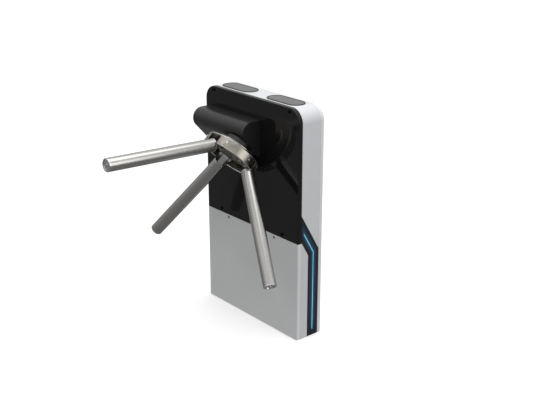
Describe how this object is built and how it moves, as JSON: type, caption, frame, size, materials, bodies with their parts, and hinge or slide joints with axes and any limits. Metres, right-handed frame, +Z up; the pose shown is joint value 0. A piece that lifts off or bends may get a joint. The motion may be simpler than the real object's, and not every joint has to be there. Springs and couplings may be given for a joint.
{
  "type": "tripod turnstile",
  "caption": "Slim free-standing tripod turnstile with a slanted rotor head, drop arms, light bands and reader windows for counting visitors.",
  "frame": {"origin": "centre of the cabinet's floor anchor pattern, on the floor", "axes": "+Z up, -Y out of the front face on the side of the arms, +X to the right seen from the front"},
  "size_m": [0.8253, 0.8269, 1.003],
  "materials": {
    "zinc_steel": "zinc-plated",
    "base_steel": "dark painted",
    "light_paint": "satin powder coat",
    "gloss_black": "high gloss",
    "satin_black": "satin powder coat",
    "black_screws": "black oxide",
    "band_black": "gloss",
    "light_blue": "diffusing, lit",
    "circuit_green": "solder mask",
    "bezel_grey": "satin",
    "window_grey": "satin",
    "black_plastic": "matte",
    "cast_aluminium": "cast",
    "dark_steel": "phosphated",
    "bright_steel": "ground",
    "spring_steel": "drawn",
    "coil_green": "wrapped coil",
    "polished_hub": "polished",
    "stainless": "satin stainless",
    "cap_steel": "turned"
  },
  "bodies": {
    "cabinet": {"base_plate": "base_steel", "left_side_frame": "zinc_steel", "right_side_frame": "zinc_steel", "front_rails": "zinc_steel", "rear_rails": "zinc_steel", "body_shell": "light_paint", "front_upper_cover": "gloss_black", "front_lower_cover": "light_paint", "rear_upper_cover": "light_paint", "rear_lower_cover": "light_paint", "cover_screws": "black_screws", "left_band": "band_black", "right_band": "band_black", "left_light_guide": "light_blue", "right_light_guide": "light_blue", "led_strips": "circuit_green", "window_bezels": "bezel_grey", "reader_windows": "window_grey", "reader_modules": "black_plastic", "hood": "satin_black", "hub_collar": "satin_black", "mechanism_plate": "zinc_steel", "head_casting": "cast_aluminium", "head_bolts": "dark_steel", "front_bearing": "bright_steel", "rear_bearing": "bright_steel", "bearing_cap": "dark_steel", "lock_plate": "zinc_steel", "pawl_posts": "bright_steel", "pawl_springs": "spring_steel", "left_solenoid": "coil_green", "right_solenoid": "coil_green", "encoder_sensor": "black_plastic", "electronics_plate": "zinc_steel", "control_board": "circuit_green", "power_supply": "cast_aluminium", "terminal_block": "black_plastic", "cable_gland": "black_plastic"},
    "rotor": {"rotor_shaft": "bright_steel", "hub": "polished_hub", "hub_shroud": "polished_hub", "shaft_nut": "dark_steel", "hub_cap": "polished_hub", "arm_pins": "bright_steel", "lock_wheel": "dark_steel", "encoder_disc": "cast_aluminium"},
    "arm_one": {"arm_1_knuckle": "cap_steel", "arm_1_tube": "stainless", "arm_1_cap": "cap_steel"},
    "arm_two": {"arm_2_knuckle": "cap_steel", "arm_2_tube": "stainless", "arm_2_cap": "cap_steel"},
    "arm_three": {"arm_3_knuckle": "cap_steel", "arm_3_tube": "stainless", "arm_3_cap": "cap_steel"},
    "pawl_left": {"left_pawl": "dark_steel"},
    "pawl_right": {"right_pawl": "dark_steel"},
    "plunger_left": {"left_plunger": "bright_steel"},
    "plunger_right": {"right_plunger": "bright_steel"}
  },
  "joints": [
    {"name": "rotor_spin", "type": "hinge", "parent": "cabinet", "child": "rotor", "pos_m": [0, -0.116, 0.8265], "axis": [0, -0.7314, -0.682], "continuous": true},
    {"name": "arm_1_drop", "type": "hinge", "parent": "rotor", "child": "arm_one", "pos_m": [0, -0.22593, 0.83034], "axis": [1, 0, 0], "range_deg": [0, 92]},
    {"name": "arm_2_drop", "type": "hinge", "parent": "rotor", "child": "arm_two", "pos_m": [-0.06736, -0.14636, 0.74501], "axis": [-0.5, -0.5906, 0.6334], "range_deg": [0, 17]},
    {"name": "arm_3_drop", "type": "hinge", "parent": "rotor", "child": "arm_three", "pos_m": [0.06736, -0.14636, 0.74501], "axis": [-0.5, 0.5906, -0.6334], "range_deg": [0, 17]},
    {"name": "pawl_left_swing", "type": "hinge", "parent": "cabinet", "child": "pawl_left", "pos_m": [-0.06, -0.00046, 0.89322], "axis": [0, 0.7314, 0.682], "range_deg": [0, 14], "stiffness_Nm_per_rad": 0.15, "springref_deg": -20.05},
    {"name": "plunger_left_pull", "type": "slide", "parent": "cabinet", "child": "plunger_left", "axis": [1, 0, 0], "range_m": [0, 0.0083]},
    {"name": "pawl_right_swing", "type": "hinge", "parent": "cabinet", "child": "pawl_right", "pos_m": [0.06, -0.00046, 0.89322], "axis": [0, -0.7314, -0.682], "range_deg": [0, 14], "stiffness_Nm_per_rad": 0.15, "springref_deg": -20.05},
    {"name": "plunger_right_pull", "type": "slide", "parent": "cabinet", "child": "plunger_right", "axis": [-1, 0, 0], "range_m": [0, 0.0083]}
  ],
  "couplings": [
    {"joint": "plunger_left_pull", "follows": "pawl_left_swing", "m_per_rad": 0.033663},
    {"joint": "plunger_right_pull", "follows": "pawl_right_swing", "m_per_rad": 0.033663}
  ]
}
